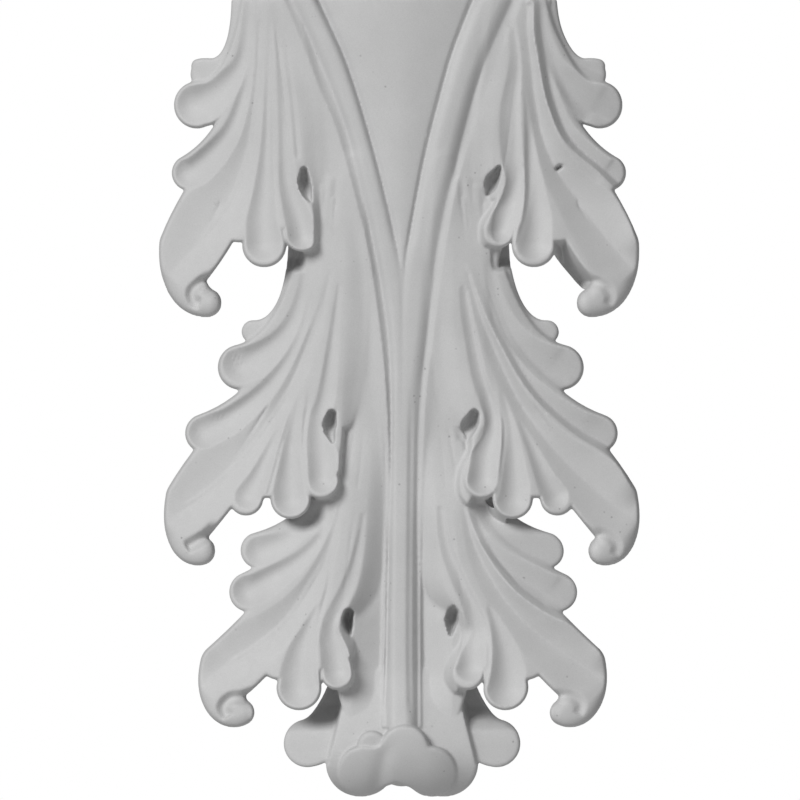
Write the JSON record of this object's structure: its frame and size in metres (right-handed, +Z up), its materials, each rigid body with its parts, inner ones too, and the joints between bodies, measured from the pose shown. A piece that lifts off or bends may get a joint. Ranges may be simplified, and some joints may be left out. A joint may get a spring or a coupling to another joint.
{
  "type": "bracket corbel",
  "caption": "Long bracket corbel: tiers of carved acanthus leaves either side of a tapering ribbed shaft, rolled tip at the foot, cut flat at the top and at the back.",
  "frame": {"origin": "middle of the flat back where it meets the wall, at half height, on the middle line", "axes": "+Z up, +X to the right seen from the front, the carved front faces -Y, the flat back lies in the plane y = 0"},
  "size_m": [0.2108, 0.088, 0.3501],
  "materials": {
    "primed_casting": "matt primer, faintly grained"
  },
  "bodies": {
    "root": {"corbel": "primed_casting"}
  },
  "joints": []
}
